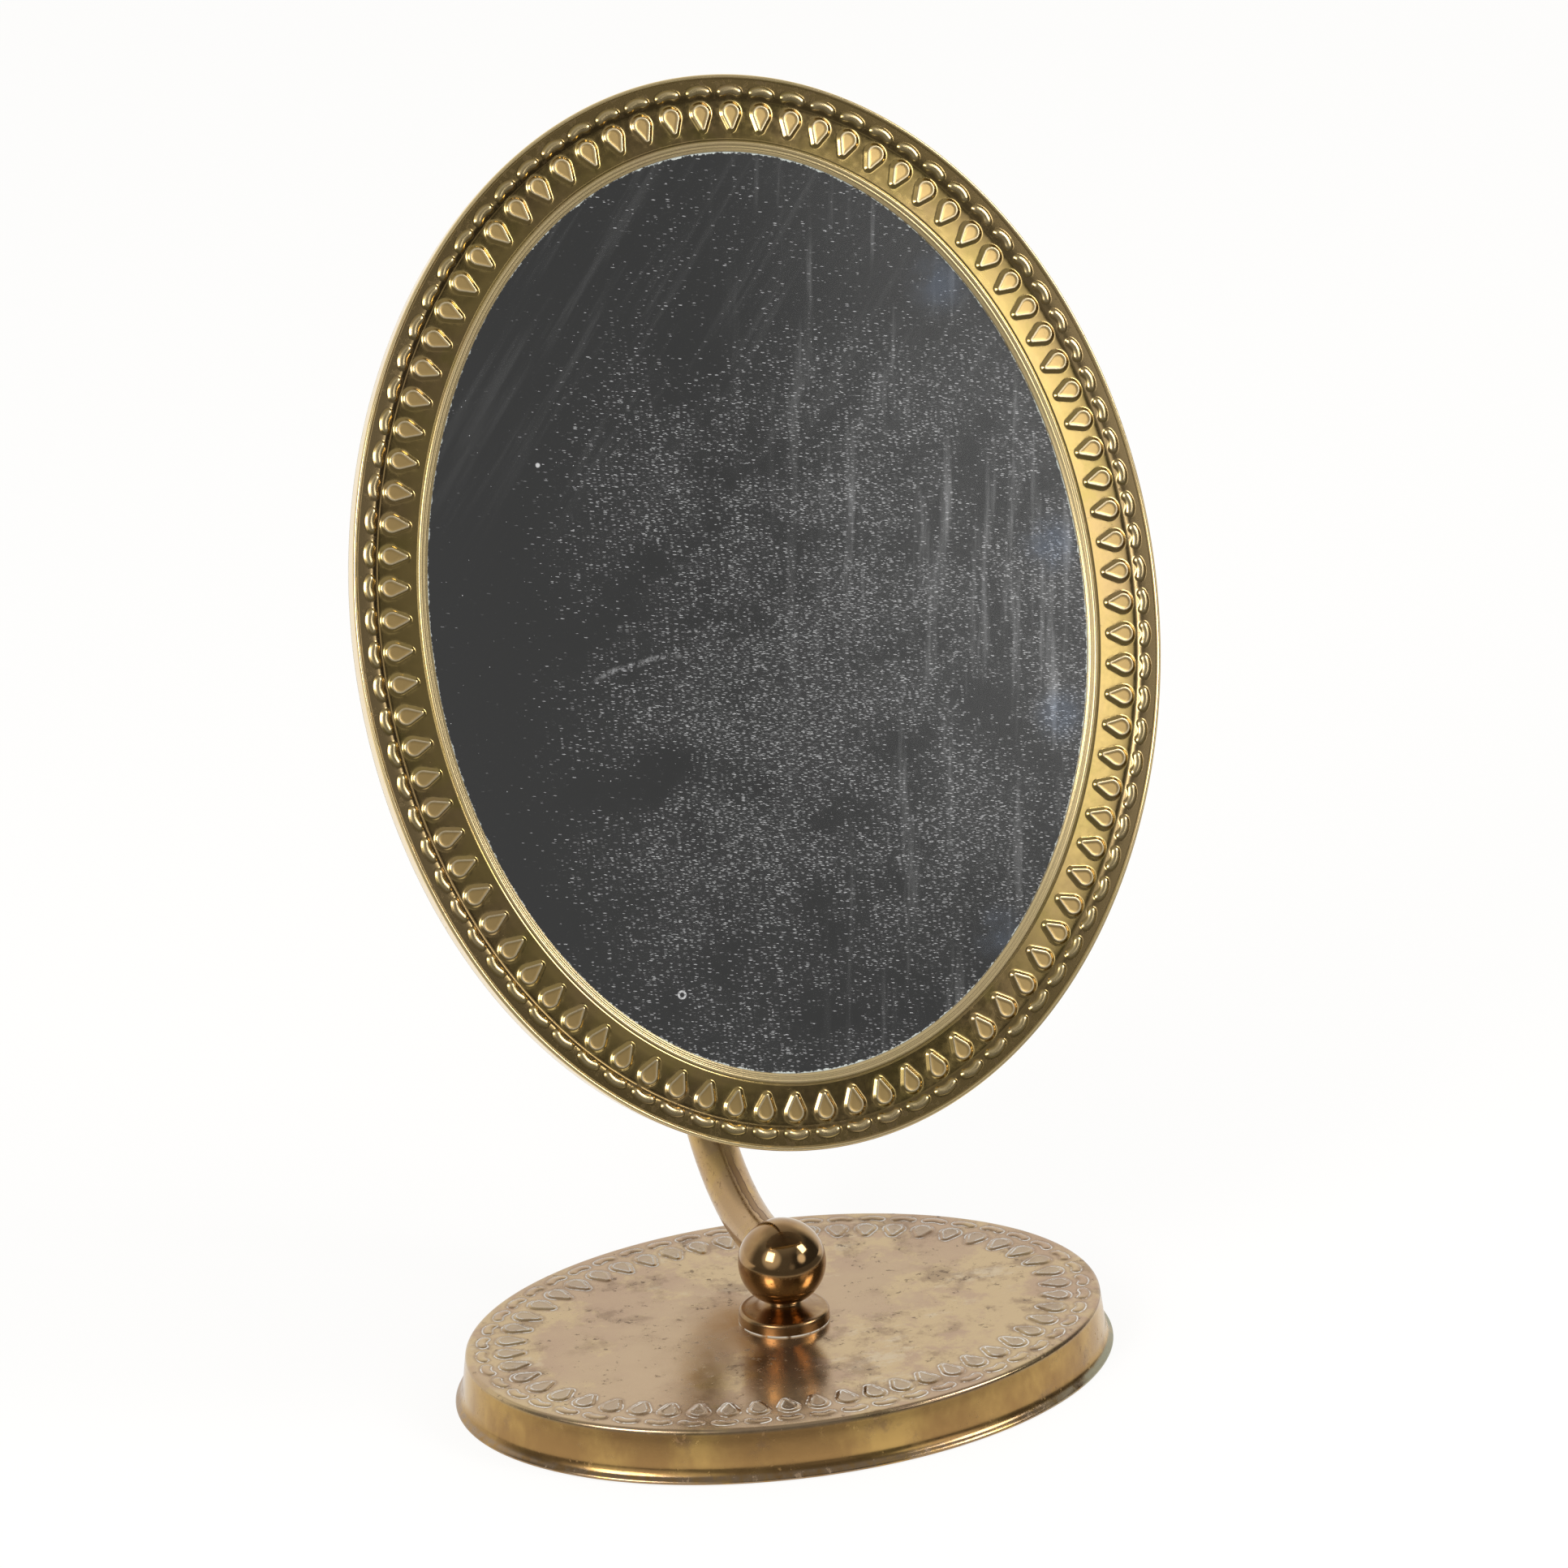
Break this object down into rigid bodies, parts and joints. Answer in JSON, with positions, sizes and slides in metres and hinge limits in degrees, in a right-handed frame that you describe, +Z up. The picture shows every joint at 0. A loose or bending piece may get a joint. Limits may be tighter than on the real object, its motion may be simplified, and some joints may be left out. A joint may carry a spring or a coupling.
{
  "type": "table mirror",
  "caption": "Oval brass table mirror on a bent tube arm with a ball post and an oval weighted base; the mirror tilts on a hinge at its back.",
  "frame": {"origin": "middle of the felt under the oval base, on the table", "axes": "+Z up, the mirror faces -Y, the base is long in X, the bent arm goes to +Y"},
  "size_m": [0.2662, 0.1906, 0.4064],
  "materials": {
    "base_brass": "tarnished, stained",
    "cast_ballast": "rough cast",
    "board": "pressed board",
    "felt": "felt",
    "steel": "zinc plated",
    "post_brass": "polished, aged",
    "tube_brass": "polished, aged",
    "turned_brass": "turned",
    "fibre": "vulcanised fibre",
    "bracket_brass": "satin",
    "back_paint": "semi-matt paint",
    "silvering": "mirror silver",
    "mirror_pane": "silvered glass",
    "frame_brass": "stamped, aged"
  },
  "bodies": {
    "stand": {"base_shell": "base_brass", "base_weight": "cast_ballast", "base_cover": "board", "base_felt": "felt", "cover_screws": "steel", "ball_post": "post_brass", "post_bolt": "steel", "post_washer": "steel", "post_spring_washer": "steel", "arm_tube": "tube_brass", "arm_plug": "turned_brass", "arm_eye": "turned_brass", "friction_washers": "fibre"},
    "mirror_head": {"hinge_bracket": "bracket_brass", "bracket_rivets": "turned_brass", "pivot_screw": "turned_brass", "pivot_washer": "steel", "back_plate": "back_paint", "glass_packing": "board", "mirror_silver": "silvering", "mirror_glass": "mirror_pane", "mirror_frame": "frame_brass"},
    "knob": {"thumb_nut": "turned_brass"}
  },
  "joints": [
    {"name": "mirror_tilt", "type": "hinge", "parent": "stand", "child": "mirror_head", "pos_m": [0.01062, 0.04775, 0.24022], "axis": [0.9986, 0, -0.0523], "range_deg": [-22, 28]},
    {"name": "knob_turn", "type": "hinge", "parent": "mirror_head", "child": "knob", "pos_m": [0.01062, 0.04775, 0.24022], "axis": [0.9986, 0, -0.0523], "range_deg": [0, 180]}
  ]
}
